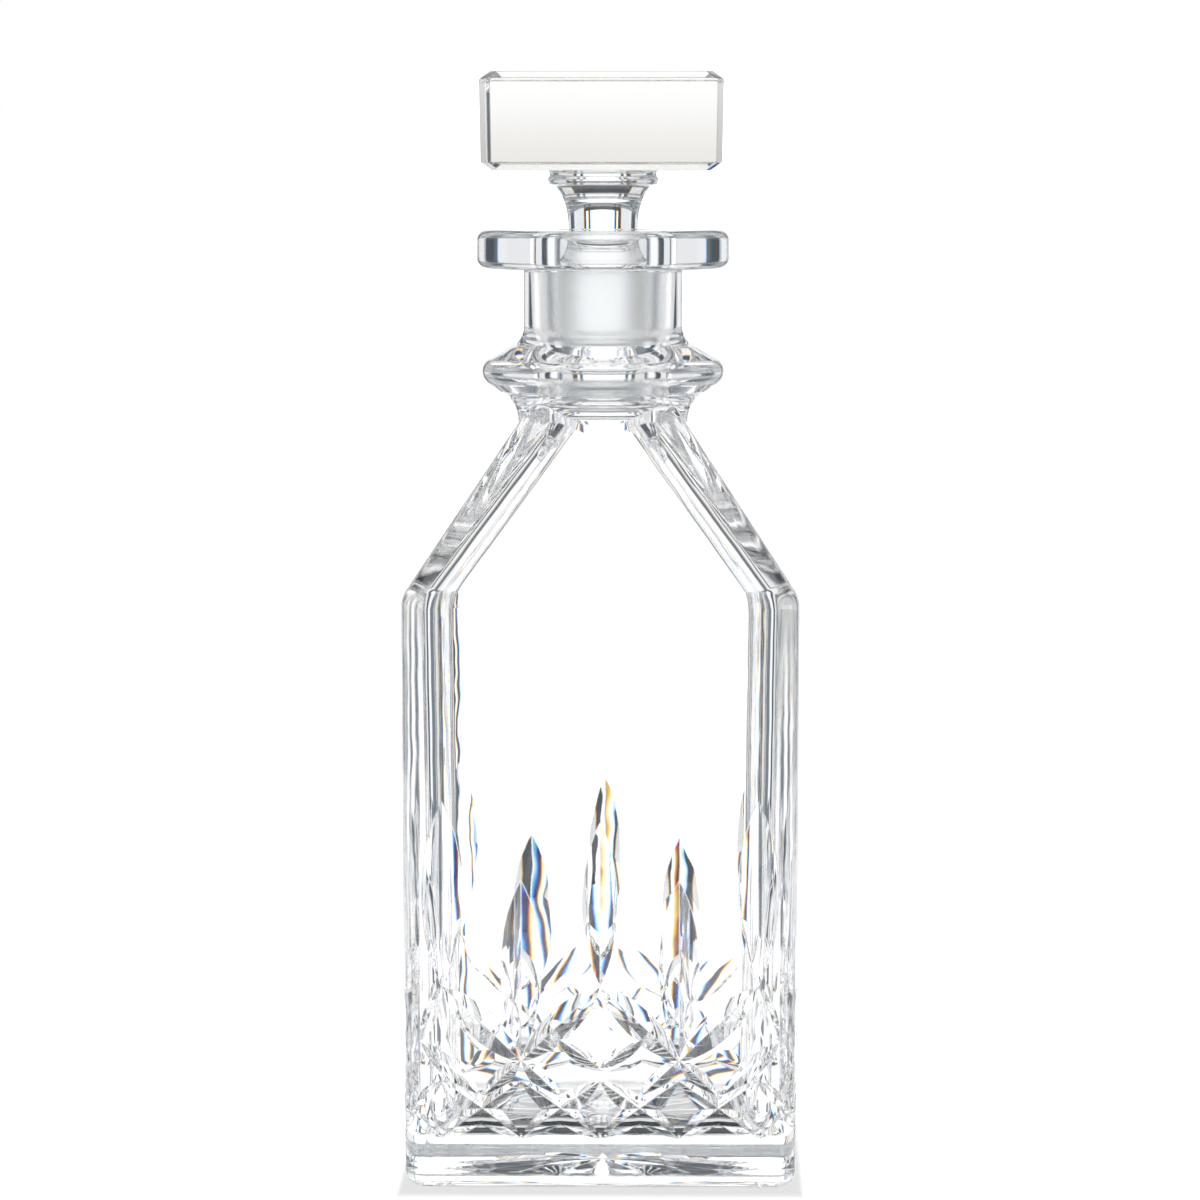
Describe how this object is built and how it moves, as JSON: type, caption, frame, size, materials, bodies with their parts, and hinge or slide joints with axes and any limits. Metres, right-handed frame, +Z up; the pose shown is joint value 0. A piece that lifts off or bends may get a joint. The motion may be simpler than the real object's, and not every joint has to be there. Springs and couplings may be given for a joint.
{
  "type": "cut crystal decanter",
  "caption": "Square clear cut-glass decanter with sloping shoulders, collared neck, disc lip and a square-headed stopper that lifts out of its ground neck.",
  "frame": {"origin": "middle of the flat base, on the surface that the decanter stands on", "axes": "+Z up along the axis of the neck and stopper, X and Y square to the flat sides"},
  "size_m": [0.0926, 0.0926, 0.26],
  "materials": {
    "crystal": "polished clear crystal",
    "stopper_crystal": "polished clear crystal, ground satin on the plug"
  },
  "bodies": {
    "body": {"decanter_body": "crystal"},
    "stopper": {"stopper": "stopper_crystal"}
  },
  "joints": [
    {"name": "stopper_lift", "type": "slide", "parent": "body", "child": "stopper", "axis": [0, 0, 1], "range_m": [0, 0.06]}
  ]
}
